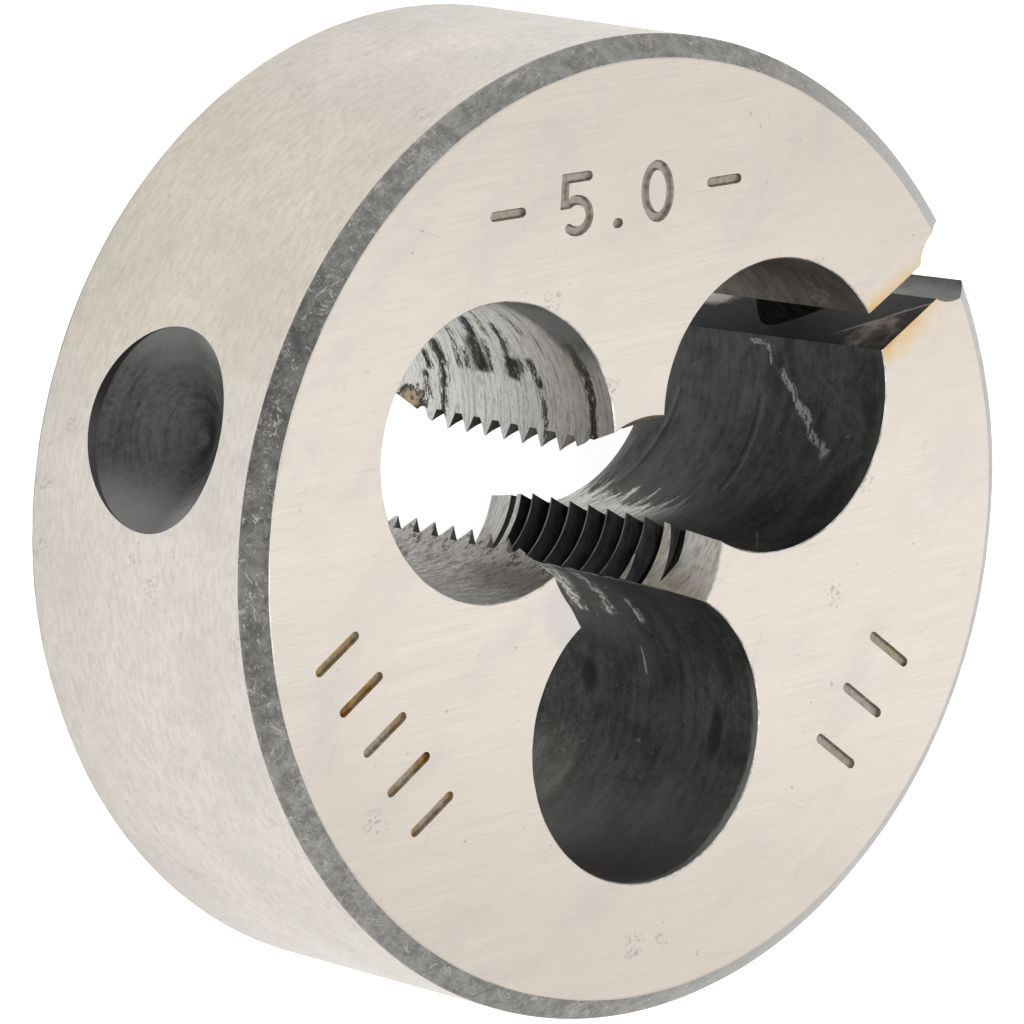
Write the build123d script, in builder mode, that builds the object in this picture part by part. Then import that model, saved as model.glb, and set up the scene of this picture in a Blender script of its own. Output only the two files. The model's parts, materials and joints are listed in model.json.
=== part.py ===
"""Round adjustable threading die: a slotted disc that cuts a metric fine thread on a rod."""
import os
from math import ceil, cos, radians, sin, tan

from build123d import *

# Every length is in millimetres and every angle in degrees.

# Disc
die_diameter = 25.4
die_thickness = 9.4
edge_chamfer_width = 0.575
edge_chamfer_height = 0.47

# Thread that the die cuts, the play left at its crests and roots, and the flat left on each crest
thread_diameter = 5.0
thread_pitch = 0.75
crest_play = 0.06
root_play = 0.04
crest_flat = 0.06

# Part of the way round from one chip hole to the next that each groove is cut along
groove_share = 0.75

# Throats that lead the rod in, one in each face
front_throat_diameter = 5.88
front_throat_half_angle = 18.5
back_throat_diameter = 5.88
back_throat_half_angle = 18.5

# How far off centre the front throat is ground on each land, so that it falls away behind the cutting edge
throat_relief = 0.36

# Flat ground in place of the front throat on the second land: its distance from the axis and its half width
flat_throat_distance = 2.9
flat_throat_reach = 1.3

# Chip holes between the cutting lands, bored a little out of even spacing
chip_hole_angles = (0.0, 120.6, 241.0)
chip_hole_diameter = 7.65
chip_hole_circle_radius = 5.365

# Slot from one chip hole out to the rim, ground a little out of line
slot_width = 1.1
slot_offset = -0.6
slot_lean = 2.0

# Rounded groove where the slot meets the rim
rim_groove_diameter = 2.1
rim_groove_inset = 0.5

# Coned hole at the mouth of the slot, for the pointed screw that spreads the die
spreading_cone_diameter = 5.0
spreading_cone_angle = 90.0
spreading_cone_full_depth = 1.33
spreading_cone_height = 4.45

# Drilled dimple in the rim, for the screw that holds the die in its stock
dimple_diameter = 5.25
dimple_drill_angle = 120.0
dimple_full_depth = 0.3
dimple_direction = 133.2
dimple_height = 4.97

# Sizes that follow from those above
rim_radius = die_diameter / 2
middle_height = die_thickness / 2
flank_slope = tan(radians(30.0))
thread_depth = 5 / 8 * (thread_pitch / 2) / flank_slope
land_radius = thread_diameter / 2 - thread_depth + crest_play
root_radius = thread_diameter / 2 + root_play
land_groove_half = (thread_pitch - crest_flat) / 2
root_groove_half = land_groove_half - (root_radius - land_radius) * flank_slope
front_throat_slope = tan(radians(front_throat_half_angle))
back_throat_slope = tan(radians(back_throat_half_angle))
back_throat_depth = (back_throat_diameter / 2 - land_radius) / back_throat_slope
spreading_cone_depth = spreading_cone_diameter / 2 / tan(radians(spreading_cone_angle / 2))
flat_throat_inner = land_radius * 0.8
flat_throat_depth = (flat_throat_distance - flat_throat_inner) / front_throat_slope
dimple_point_depth = dimple_diameter / 2 / tan(radians(dimple_drill_angle / 2))

# How far the cutting shapes run past the surfaces that they cut
overcut = 1.0
inner_overcut = land_radius / 20

# Where each land is and where the thread groove is cut: its turn of the screw is the same all round
land_count = len(chip_hole_angles)
land_spacing = 360 / land_count
groove_sweep = land_spacing * groove_share
groove_turns = ceil(die_thickness / thread_pitch) + 2
land_places = []
groove_places = []
for land in range(land_count):
    land_places.append(Location((0, 0, 0), (0, 0, land_spacing * land)))
    groove_start = land_spacing * (land + 1 / 2) - groove_sweep / 2
    for turn in range(groove_turns):
        groove_height = thread_pitch * (turn - 1 + groove_start / 360)
        groove_places.append(Location((0, 0, groove_height), (0, 0, groove_start)))

# Where each chip hole is bored
hole_places = []
for angle in chip_hole_angles:
    hole_x = chip_hole_circle_radius * cos(radians(angle))
    hole_y = chip_hole_circle_radius * sin(radians(angle))
    hole_places.append((hole_x, hole_y))

# One land's share of the front throat: a sector of a cone, off centre away from the cutting edge
relief_direction = radians(land_spacing / 2 - 90)
throat_plane = Plane(
    origin=(throat_relief * cos(relief_direction), throat_relief * sin(relief_direction), die_thickness),
    x_dir=(1, 0, 0),
    z_dir=(0, -1, 0),
)
with BuildPart() as front_throat_share:
    with BuildSketch(throat_plane):
        with BuildLine():
            Polyline(
                (0, -front_throat_diameter / 2 / front_throat_slope),
                (front_throat_diameter / 2 + overcut * front_throat_slope, overcut),
                (0, overcut),
                close=True,
            )
        make_face()
    revolve(axis=Axis(throat_plane.origin, (0, 0, 1)), revolution_arc=land_spacing)

# One groove across one land, following the screw line
with BuildPart() as thread_groove:
    with BuildLine():
        groove_path = Helix(
            pitch=thread_pitch,
            height=thread_pitch * groove_sweep / 360,
            radius=land_radius,
        )
    with BuildSketch(Plane.XZ):
        with BuildLine():
            Polyline(
                (land_radius - inner_overcut, land_groove_half + inner_overcut * flank_slope),
                (root_radius, root_groove_half),
                (root_radius, -root_groove_half),
                (land_radius - inner_overcut, -land_groove_half - inner_overcut * flank_slope),
                close=True,
            )
        make_face()
    sweep(path=groove_path, is_frenet=True)

with BuildPart() as threading_die:
    # Disc, edge chamfers, bore at the height of the thread's crests, and back throat
    with BuildSketch(Plane.XZ):
        with BuildLine():
            Polyline(
                (back_throat_diameter / 2, 0),
                (rim_radius - edge_chamfer_width, 0),
                (rim_radius, edge_chamfer_height),
                (rim_radius, die_thickness - edge_chamfer_height),
                (rim_radius - edge_chamfer_width, die_thickness),
                (land_radius, die_thickness),
                (land_radius, back_throat_depth),
                close=True,
            )
        make_face()
    revolve(axis=Axis.Z)

    # Chip holes, the first of them on the line of the slot
    with BuildSketch(Plane.XY.offset(-overcut)):
        with Locations(*hole_places):
            Circle(chip_hole_diameter / 2)
    extrude(amount=die_thickness + 2 * overcut, mode=Mode.SUBTRACT)

    # Front throat, one share for each land
    with Locations(*land_places):
        add(front_throat_share.part, mode=Mode.SUBTRACT)

    # Flat of the second land, as steep as the throat
    with BuildSketch(Plane.XZ):
        with BuildLine():
            Polyline(
                (-flat_throat_distance - overcut * front_throat_slope, die_thickness + overcut),
                (-flat_throat_inner, die_thickness + overcut),
                (-flat_throat_inner, die_thickness - flat_throat_depth),
                close=True,
            )
        make_face()
    extrude(amount=flat_throat_reach, both=True, mode=Mode.SUBTRACT)

    # Thread grooves: the one groove, a turn apart up the bore and carried round to each land
    with Locations(*groove_places):
        add(thread_groove.part, mode=Mode.SUBTRACT)

    # Slot and rim groove, leaning together
    slot_plane = Plane(
        origin=(0, slot_offset, middle_height),
        x_dir=(1, 0, 0),
        z_dir=(0, sin(radians(slot_lean)), cos(radians(slot_lean))),
    )
    with BuildSketch(slot_plane):
        with Locations((chip_hole_circle_radius, 0)):
            Rectangle(
                rim_radius - chip_hole_circle_radius + overcut,
                slot_width,
                align=(Align.MIN, Align.CENTER),
            )
        with Locations((rim_radius - rim_groove_inset, 0)):
            Circle(rim_groove_diameter / 2)
    extrude(amount=die_thickness, both=True, mode=Mode.SUBTRACT)

    # Spreading cone, its point towards the middle of the die, and its full width at the rim
    cone_shoulder = rim_radius - spreading_cone_full_depth
    cone_top = spreading_cone_height + spreading_cone_diameter / 2
    with BuildSketch(Plane.XZ.offset(-slot_offset)):
        with BuildLine():
            Polyline(
                (cone_shoulder - spreading_cone_depth, spreading_cone_height),
                (rim_radius + overcut, spreading_cone_height),
                (rim_radius + overcut, cone_top),
                (cone_shoulder, cone_top),
                close=True,
            )
        make_face()
    revolve(axis=Axis((0, slot_offset, spreading_cone_height), (1, 0, 0)), mode=Mode.SUBTRACT)

    # Holding dimple: the point of the drill, and the little of its full width that goes in
    dimple_plane = Plane(
        origin=(0, 0, dimple_height),
        x_dir=(cos(radians(dimple_direction)), sin(radians(dimple_direction)), 0),
        z_dir=(sin(radians(dimple_direction)), -cos(radians(dimple_direction)), 0),
    )
    dimple_shoulder = rim_radius - dimple_full_depth
    with BuildSketch(dimple_plane):
        with BuildLine():
            Polyline(
                (dimple_shoulder - dimple_point_depth, 0),
                (rim_radius + overcut, 0),
                (rim_radius + overcut, dimple_diameter / 2),
                (dimple_shoulder, dimple_diameter / 2),
                close=True,
            )
        make_face()
    revolve(axis=Axis(dimple_plane.origin, dimple_plane.x_dir), mode=Mode.SUBTRACT)

threading_die.part.label = "threading_die"

os.makedirs("parts", exist_ok=True)
export_step(threading_die.part, "parts/threading_die.step")
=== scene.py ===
import json
from math import ceil, cos, pi, radians, sin, sqrt, tan

import bpy
from mathutils import Matrix, Vector, noise

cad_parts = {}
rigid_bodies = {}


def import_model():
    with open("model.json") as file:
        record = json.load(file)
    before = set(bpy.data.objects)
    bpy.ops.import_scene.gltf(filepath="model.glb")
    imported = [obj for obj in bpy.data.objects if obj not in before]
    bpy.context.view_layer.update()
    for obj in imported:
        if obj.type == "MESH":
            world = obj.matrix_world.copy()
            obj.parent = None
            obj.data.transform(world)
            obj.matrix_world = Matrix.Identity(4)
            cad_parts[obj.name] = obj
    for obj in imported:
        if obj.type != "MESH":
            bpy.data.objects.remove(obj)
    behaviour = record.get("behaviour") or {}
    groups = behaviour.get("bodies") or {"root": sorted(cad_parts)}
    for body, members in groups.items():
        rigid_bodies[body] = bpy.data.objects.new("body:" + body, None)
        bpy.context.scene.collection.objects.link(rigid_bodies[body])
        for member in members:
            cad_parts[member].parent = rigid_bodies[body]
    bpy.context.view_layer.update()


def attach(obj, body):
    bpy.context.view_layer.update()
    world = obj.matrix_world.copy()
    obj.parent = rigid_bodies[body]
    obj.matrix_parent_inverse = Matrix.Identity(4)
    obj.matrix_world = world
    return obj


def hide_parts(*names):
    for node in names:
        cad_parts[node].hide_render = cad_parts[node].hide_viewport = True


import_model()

# %% [markdown]
# # A round threading die
# The object is one disc of hardened steel.
# It holds a threaded bore with three toothed lands, three chip holes, a slot, and a dimple in its rim.
# The frame brings in the solid from CAD. It stays as it is for size and collision.
# Here one finer mesh takes its place in the picture, with small broken edges, real screw teeth and wear.

# %% [markdown]
# ## Working in millimetres
# A die is small, and its edges are broken by a few hundredths of a millimetre.
# So every mesh is drawn in millimetres and shrunk to metres once, at the very end.
# The numbers are those of the solid, so that the two shapes agree.

# %% Main sizes
rim_radius = 12.7
thickness = 9.4
middle = thickness / 2
chamfer_width = 0.575
chamfer_height = 0.47
thread_pitch = 0.75
crest_radius = 2.154
root_radius = 2.54
chip_hole_radius = 3.825
chip_hole_circle = 5.365
slot_width = 1.1
slot_offset = -0.6
slot_lean = radians(2.0)

# How far a cutting tool runs past the surface that it cuts
past = 1.0
print("die", 2 * rim_radius, "mm across and", thickness, "mm thick")

# %% [markdown]
# ## One name for each finish
# A face of a mesh carries the number of its material.
# Each cutting tool below gives its own number to the walls that it leaves.
# That way a hole, a thread and a slot get their own finish with no painting by hand.

# %% Finish numbers
finish_names = [
    "ground_face",
    "ground_rim",
    "worn_chamfer",
    "broken_edge",
    "slotted_hole",
    "rubbed_hole",
    "plain_hole",
    "brushed_throat",
    "thread_flank",
    "thread_crest",
    "slot_wall",
    "drilled_dimple",
    "engraved_stroke",
    "rim_groove",
    "screw_cone",
]
finish = {name: number for number, name in enumerate(finish_names)}
for name in finish_names:
    bpy.data.materials.new(name)
print(len(finish_names), "finishes")

# %% [markdown]
# ## Turning a shape on a lathe
# A die starts as a bar turned on a lathe, and so does its mesh.
# An outline of (radius, height) points is spun round the upright axis.
# Where the outline meets the axis, all its copies share one vertex.
# A little unevenness can be added for each angle, because a real edge is never perfect.

# %% Lathe helper
def make_object(name, points, faces, numbers):
    mesh = bpy.data.meshes.new(name)
    mesh.from_pydata(points, [], faces)
    for material_name in finish_names:
        mesh.materials.append(bpy.data.materials[material_name])
    mesh.polygons.foreach_set("material_index", numbers)
    mesh.update()
    thing = bpy.data.objects.new(name, mesh)
    bpy.context.scene.collection.objects.link(thing)
    return thing


def turn(name, outline, finishes, segments, closed=False, place=None, uneven=None):
    points = []
    columns = []
    for step in range(segments):
        angle = 2 * pi * step / segments
        column = []
        for index, (radius, height) in enumerate(outline):
            if radius == 0 and step > 0:
                column.append(columns[0][index])
                continue
            if uneven:
                radius, height = uneven(index, angle, radius, height)
            column.append(len(points))
            points.append(Vector((radius * cos(angle), radius * sin(angle), height)))
        columns.append(column)
    faces = []
    numbers = []
    count = len(outline)
    for step, here in enumerate(columns):
        there = columns[(step + 1) % segments]
        for index in range(count if closed else count - 1):
            after = (index + 1) % count
            corners = [here[index], there[index], there[after], here[after]]
            face = [c for k, c in enumerate(corners) if c not in corners[:k]]
            if len(face) > 2:
                faces.append(face)
                numbers.append(finish[finishes[index]])
    if place:
        points = [place @ p for p in points]
    return make_object(name, points, faces, numbers)


# %% [markdown]
# ## The blank
# The outline goes round the section of the disc, from the back of the bore to the front of it.
# Both rims are chamfered, and the bore opens into a cone at each end, called the throat.
# On each land the front throat is ground a little off centre, so it falls away behind the cutting edge.
# Every sharp corner gets a small flat, because light caught on it makes an edge look real.

# %% Outline of the disc
edge_break = 0.035
throat_break = 0.03
throat_radius = 2.94
throat_slope = tan(radians(18.5))
throat_depth = (throat_radius - crest_radius) / throat_slope
throat_relief = 0.36
land_spacing = radians(120)
rim_inner = rim_radius - chamfer_width
back_edge = [
    (rim_inner - edge_break, 0.0),
    (rim_inner + edge_break * 0.5, edge_break * 0.6),
    (rim_radius - edge_break * 0.7, chamfer_height - edge_break * 0.6),
    (rim_radius, chamfer_height + edge_break),
]
front_edge = [(radius, thickness - height) for radius, height in reversed(back_edge)]
disc_outline = [
    (throat_radius, 0.0),
    *back_edge,
    (rim_radius, middle),
    *front_edge,
    (throat_radius, thickness),
    (throat_radius - throat_break, thickness - throat_break),
    (crest_radius, thickness - throat_depth),
    (crest_radius, throat_depth),
]
half_finishes = ["ground_face"] * 2 + ["worn_chamfer"] * 2 + ["ground_rim"]
bore_finishes = ["brushed_throat"] * 2 + ["thread_crest", "brushed_throat"]
disc_finishes = half_finishes + half_finishes[::-1] + bore_finishes


def blank_unevenness(index, angle, radius, height):
    if index in (10, 11, 12):
        relief = -throat_relief * sin(angle % land_spacing - land_spacing / 2)
        if index == 12:
            return radius, height - relief / throat_slope
        return radius + relief, height
    if index not in (2, 3, 7, 8):
        return radius, height
    around = Vector((cos(angle) * 3, sin(angle) * 3, index * 7.3))
    drift = noise.noise(around) * 0.035 + noise.noise(around * 9) * 0.012
    if index in (3, 7):
        upward = drift if index == 3 else -drift
        return min(radius - abs(drift) * 0.2, rim_radius), height + upward
    return radius - drift - 0.01, height


die = turn("threading_die_body", disc_outline, disc_finishes, 720, closed=True, uneven=blank_unevenness)
print("blank:", len(die.data.polygons), "faces")

# %% [markdown]
# ## Cutting
# Metal is taken away with Boolean modifiers, in the order that a toolmaker would work.
# The Manifold solver is quick and exact when both shapes are closed.
# The evaluated mesh is kept and the tool is thrown away, so no modifier is left over.

# %% Cutting helper
def volume_of(mesh):
    total = 0.0
    for face in mesh.polygons:
        corners = [mesh.vertices[index].co for index in face.vertices]
        for first, second in zip(corners[1:], corners[2:]):
            total += corners[0].dot(first.cross(second)) / 6
    return total


def cut(blank, tool):
    before = volume_of(blank.data)
    modifier = blank.modifiers.new("cut", "BOOLEAN")
    modifier.operation = "DIFFERENCE"
    modifier.solver = "MANIFOLD"
    modifier.object = tool
    bpy.context.view_layer.update()
    ready = blank.evaluated_get(bpy.context.evaluated_depsgraph_get())
    mesh = bpy.data.meshes.new_from_object(ready)
    blank.modifiers.clear()
    old = blank.data
    blank.data = mesh
    bpy.data.meshes.remove(old)
    print("cut with", tool.name, "took", round(before - volume_of(mesh), 3), "cubic mm")
    shape = tool.data
    bpy.data.objects.remove(tool)
    bpy.data.meshes.remove(shape)


# %% [markdown]
# ## Tools with one section all along
# The thread, the slot, the flat and the engraved strokes are each cut by a bar whose sections follow
# one another. Neighbouring sections are joined by a ring of faces, and a bar that isn't a ring is capped.

# %% Bar helpers
def sweep(name, points, corners, finish_name, ring=False):
    rows = len(points) // corners
    faces = []
    for row in range(rows if ring else rows - 1):
        here = row * corners
        there = (row + 1) % rows * corners
        for corner in range(corners):
            beside = (corner + 1) % corners
            faces.append([here + corner, here + beside, there + beside, there + corner])
    if not ring:
        faces.append(list(reversed(range(corners))))
        faces.append(list(range(len(points) - corners, len(points))))
    return make_object(name, points, faces, [finish[finish_name]] * len(faces))


def bar_tool(name, section, bottom, top, finish_name):
    points = [Vector((x, y, height)) for height in (bottom, top) for x, y in section]
    return sweep(name, points, len(section), finish_name)


# %% [markdown]
# ## The thread
# The tool is a long screw-shaped bar with the section of one thread groove.
# It climbs one pitch for each turn, to the right, as the rod's thread will.
# Its inner side stands a little inside the bore, so that the crests come out clean and sharp.

# %% Thread tool
crest_half = 0.352
inside = 0.035
flank_slope = tan(radians(30))
root_half = crest_half - (root_radius - crest_radius) * flank_slope
open_half = crest_half + inside * flank_slope
groove_section = [
    (crest_radius - inside, open_half),
    (root_radius, root_half),
    (root_radius, -root_half),
    (crest_radius - inside, -open_half),
]
steps_a_turn = 120
turns = ceil(thickness / thread_pitch) + 3
points = []
for step in range(steps_a_turn * turns + 1):
    angle = 2 * pi * step / steps_a_turn
    rise = thread_pitch * (step / steps_a_turn - 1)
    for radius, height in groove_section:
        points.append(Vector((radius * cos(angle), radius * sin(angle), height + rise)))
cut(die, sweep("thread_tool", points, 4, "thread_flank"))

# %% [markdown]
# ## The chip holes
# Three holes round the bore leave three lands between them, and their walls are what the teeth end on.
# Each hole's tool widens a hair at both ends, which breaks the edge of the hole on the face.

# %% Chip hole tools
def hole_edge_unevenness(index, angle, radius, height):
    if index in (2, 5):
        around = Vector((cos(angle) * 2, sin(angle) * 2, index))
        return radius + noise.noise(around * 4) * 0.012, height
    return radius, height


broken = 0.03
wide = chip_hole_radius + broken
hole_outline = [
    (0, -past),
    (wide, -past),
    (wide, 0.0),
    (chip_hole_radius, broken),
    (chip_hole_radius, thickness - broken),
    (wide, thickness),
    (wide, thickness + past),
    (0, thickness + past),
]
hole_list = [(0.0, "slotted_hole"), (120.6, "rubbed_hole"), (241.0, "plain_hole")]
for direction, wall_finish in hole_list:
    finishes = [wall_finish] * 7
    finishes[2] = finishes[4] = "broken_edge"
    outward = Matrix.Translation((chip_hole_circle, 0, 0))
    place = Matrix.Rotation(radians(direction), 4, "Z") @ outward
    cut(die, turn(wall_finish, hole_outline, finishes, 256, place=place, uneven=hole_edge_unevenness))

# %% [markdown]
# ## A flat in place of one throat
# On the second land the front throat is ground flat instead of round, which leaves a straight edge.
# The tool is a wedge as steep as the throat. It is drawn upright and turned onto its side.

# %% Flat throat tool
flat_distance = 2.9
flat_inner = crest_radius * 0.8
flat_reach = 1.3
flat_section = [
    (-flat_inner, thickness - (flat_distance - flat_inner) / throat_slope),
    (-flat_inner, thickness + past),
    (-flat_distance - throat_slope, thickness + past),
]
flat_tool = bar_tool("flat_throat_tool", flat_section, -flat_reach, flat_reach, "brushed_throat")
flat_tool.data.transform(Matrix.Rotation(radians(90), 4, "X"))
cut(die, flat_tool)

# %% [markdown]
# ## The slot and the groove in the rim
# A thin grinding wheel opens one chip hole to the rim, so that the die can be squeezed to size.
# Here it runs a little beside the middle and leans two degrees, as ground slots often do.
# A round groove eases the mouth of the slot, and a cone takes the screw that spreads it.

# %% Slot tools
slot_place = Matrix.Translation((0, slot_offset, middle)) @ Matrix.Rotation(-slot_lean, 4, "X")
half = slot_width / 2
slot_section = [
    (chip_hole_circle, -half),
    (rim_radius + past, -half),
    (rim_radius + past, half),
    (chip_hole_circle, half),
]
slot_tool = bar_tool("slot_tool", slot_section, -thickness, thickness, "slot_wall")
slot_tool.data.transform(slot_place)
cut(die, slot_tool)

groove_radius = 1.05
groove_inset = 0.5
groove_outline = [(0, -thickness), (groove_radius, -thickness), (groove_radius, thickness), (0, thickness)]
groove_place = slot_place @ Matrix.Translation((rim_radius - groove_inset, 0, 0))
cut(die, turn("rim_groove_tool", groove_outline, ["rim_groove"] * 3, 96, place=groove_place))

# The axis of a drill that comes in from the rim lies along X
sideways = Matrix.Rotation(radians(90), 4, "Y")
cone_height = 4.45
cone_radius = 2.5
cone_straight = 1.33
cone_outline = [
    (0, -cone_straight - cone_radius),
    (cone_radius, -cone_straight),
    (cone_radius, past),
    (0, past),
]
cone_place = Matrix.Translation((rim_radius, slot_offset, cone_height)) @ sideways
cut(die, turn("spreading_cone_tool", cone_outline, ["screw_cone"] * 3, 128, place=cone_place))

# %% [markdown]
# ## The dimple
# A drill point makes a seat for the screw that holds the die in its stock.
# The drill goes in until its full width just enters, so the cone is followed by a short straight wall.

# %% Dimple tool
dimple_radius = 2.625
dimple_direction = radians(133.2)
dimple_height = 4.97
dimple_straight = 0.3
dimple_floor = rim_radius - dimple_straight
dimple_point = dimple_floor - dimple_radius / tan(radians(60))
dimple_outline = [
    (0, dimple_point),
    (0.12, dimple_point + 0.04),
    (dimple_radius, dimple_floor),
    (dimple_radius, rim_radius + past),
    (0, rim_radius + past),
]
dimple_turn = Matrix.Rotation(dimple_direction, 4, "Z")
dimple_place = Matrix.Translation((0, 0, dimple_height)) @ dimple_turn @ sideways
cut(die, turn("dimple_tool", dimple_outline, ["drilled_dimple"] * 4, 160, place=dimple_place))

# %% [markdown]
# ## Engraved strokes
# The front face carries plain marks cut with a narrow round-ended tool.
# A stroke is a path with a narrow section swept along it, and the section closes in at both ends.
# The number is the rod's size, and the short strokes are plain index marks.

# %% Stroke tool
stroke_half = 0.135
stroke_depth = 0.1
stroke_section = ((1.12, 0.05), (-1.12, 0.05), (-0.62, -stroke_depth), (0.62, -stroke_depth))


def stroke_tool(path, ring):
    path = [Vector((x, y, 0)) for x, y in path]
    ways = [(after - point).normalized() for point, after in zip(path, path[1:] + path[:1])]
    if not ring:
        ways[-1] = ways[-2]
    sections = []
    for index, point in enumerate(path):
        before = ways[index - 1] if index or ring else ways[0]
        after = ways[index]
        along = (before + after).normalized()
        side = Vector((-along.y, along.x, 0))
        stretch = 1 / max(0.5, sqrt(max(0.0, (1 + before.dot(after)) / 2)))
        sections.append((point, side, stroke_half * stretch))
    if not ring:
        ends = []
        for index, way in ((0, -ways[0]), (-1, ways[-1])):
            side = sections[index][1]
            ends.append([
                (path[index] + way * stroke_half * k, side, stroke_half * sqrt(1 - k * k))
                for k in (0.45, 0.75, 0.92, 0.99)
            ])
        sections = ends[0][::-1] + sections + ends[1]
    points = []
    for point, side, spread in sections:
        for across, height in stroke_section:
            points.append(point + side * spread * across + Vector((0, 0, thickness + height)))
    return sweep("stroke_tool", points, 4, "engraved_stroke", ring)


def engrave(path, centre, direction, shift, ring=False):
    along, up = cos(direction), sin(direction)
    placed = []
    for x, y in path:
        x += shift
        placed.append((centre[0] + x * along - y * up, centre[1] + x * up + y * along))
    cut(die, stroke_tool(placed, ring))


# %% [markdown]
# The digits are drawn on a grid 1.6 mm high, with the round parts as arcs of a few points.

# %% Strokes of the number
def arc(cx, cy, rx, ry, start, end, steps):
    path = []
    for step in range(steps + 1):
        angle = radians(start + (end - start) * step / steps)
        path.append((cx + rx * cos(angle), cy + ry * sin(angle)))
    return path


digit_height = 1.6
digit_middle = digit_height / 2
digit_top = digit_height - 0.13
five = [(0.42, digit_top), (-0.33, digit_top), (-0.4, 0.83)]
five += arc(0.0, 0.5, 0.42, 0.4, 125, -130, 14)
nought = arc(0.0, digit_middle, 0.42, digit_middle - 0.13, 0, 345, 23)
dot = [(-0.03, 0.14), (0.03, 0.14)]
dash = [(-0.45, digit_middle), (0.45, digit_middle)]
text_direction = radians(-29.3)
text_x = 3.77 + digit_middle * sin(text_direction)
text_y = 7.86 - digit_middle * cos(text_direction)
for path, shift in ((dash, -3.6), (five, -1.35), (dot, 0.0), (nought, 1.35), (dash, 3.6)):
    engrave(path, (text_x, text_y), text_direction, shift, ring=path is nought)

# %% Index strokes beside the other two chip holes
stroke_reach = 0.675
index_mark = [(0, -stroke_reach), (0, 0), (0, stroke_reach)]
for centre, degrees, count, spacing in (((3.77, -8.55), 22.0, 3, 1.55), ((-9.39, 0.81), -87.0, 5, 1.35)):
    for index in range(count):
        engrave(index_mark, centre, radians(degrees), (index - (count - 1) / 2) * spacing)

# %% [markdown]
# ## Closing the mesh
# Corners sharper than 20 degrees stay sharp, and all other faces shade smoothly across their edges.
# Then the mesh is shrunk to metres and takes the place of the solid in the picture.

# %% Finished body
die.data.shade_smooth()
die.data.set_sharp_from_angle(angle=radians(20))
for face in die.data.polygons:
    if abs(face.normal.z) > 0.9999:
        face.use_smooth = False
die.data.transform(Matrix.Scale(0.001, 4))
die.data.update()
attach(die, "root")
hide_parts("threading_die")
triangles = sum(len(face.vertices) - 2 for face in die.data.polygons)
print("finished body:", len(die.data.polygons), "faces,", triangles, "triangles")
by_finish = [0.0] * len(finish_names)
for face in die.data.polygons:
    by_finish[face.material_index] += face.area * 1e6
for name, area in zip(finish_names, by_finish):
    print("  ", name, round(area, 2), "square mm")

# %% [markdown]
# ## Building node trees
# A material is a tree of nodes, and each node passes what it works out on to the next.
# A Value stands for what comes out of a node, so that sums of such values read like plain arithmetic.
# It knows its tree, so a helper learns from its inputs where the next node goes.

# %% Node helpers
class Value:
    def __init__(self, socket):
        self.socket = socket
        self.tree = socket.id_data

    def __add__(self, other):
        return maths("ADD", self, other)

    def __sub__(self, other):
        return maths("SUBTRACT", self, other)

    def __rsub__(self, other):
        return maths("SUBTRACT", other, self)

    def __mul__(self, other):
        return maths("MULTIPLY", self, other)

    def __truediv__(self, other):
        return maths("DIVIDE", self, other)

    def __abs__(self):
        return maths("ABSOLUTE", self, 0.0)


def node(tree, kind, inputs=None, **settings):
    made = tree.nodes.new(kind)
    for name, value in settings.items():
        setattr(made, name, value)
    for name, value in (inputs or {}).items():
        if isinstance(value, Value):
            tree.links.new(value.socket, made.inputs[name])
        else:
            made.inputs[name].default_value = value
    return made


def tree_of(inputs):
    return next(value.tree for value in inputs.values() if isinstance(value, Value))


def worked_out(kind, inputs, output=0, **settings):
    return Value(node(tree_of(inputs), kind, inputs, **settings).outputs[output])


def maths(operation, first, second):
    return worked_out("ShaderNodeMath", {0: first, 1: second}, operation=operation)


def larger(first, second):
    return maths("MAXIMUM", first, second)


def vectors(operation, first, second):
    return worked_out("ShaderNodeVectorMath", {0: first, 1: second}, operation=operation)


def reach_along(vector, way):
    return worked_out("ShaderNodeVectorMath", {0: vector, 1: way}, "Value", operation="DOT_PRODUCT")


def length(vector):
    return worked_out("ShaderNodeVectorMath", {0: vector}, "Value", operation="LENGTH")


def split(vector):
    return [Value(part) for part in node(vector.tree, "ShaderNodeSeparateXYZ", {0: vector}).outputs]


def join(x, y, z=0.0):
    return worked_out("ShaderNodeCombineXYZ", {0: x, 1: y, 2: z})


def turned(vector, angle):
    return worked_out("ShaderNodeVectorRotate", {"Vector": vector, "Angle": angle}, rotation_type="Z_AXIS")


def fade(value, low, high, out_low=0.0, out_high=1.0):
    inputs = {"Value": value, "From Min": low, "From Max": high, "To Min": out_low, "To Max": out_high}
    return worked_out("ShaderNodeMapRange", inputs, interpolation_type="SMOOTHSTEP")


# %% [markdown]
# Colours are mixed in four ways: between two colours, between two tones by a noise,
# as coats laid over what is below, and as a tint that multiplies what is below.

# %% Colour helpers
def blend(factor, first, second, kind="MIX"):
    inputs = {0: factor, 6: first, 7: second}
    return worked_out("ShaderNodeMix", inputs, 2, data_type="RGBA", blend_type=kind)


def two_tone(value, dark, light, low=0.3, high=0.7):
    return blend(fade(value, low, high), (*dark, 1), (*light, 1))


def over(mask, amount, colour, under):
    return blend(mask * amount, under, (*colour, 1))


def coated(under, coats):
    for mask, amount, colour in coats:
        under = over(mask, amount, colour, under)
    return under


def toned(mask, colour, under):
    return blend(mask, under, (*colour, 1), "MULTIPLY")


# %% [markdown]
# An effect that several materials share is a node group: a small tree with named inputs and outputs.

# %% Group helpers
socket_kinds = {"Vector": "NodeSocketVector", "Wall": "NodeSocketVector", "Colour": "NodeSocketColor"}


def named(sockets):
    return {socket.name: Value(socket) for socket in sockets}


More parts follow.
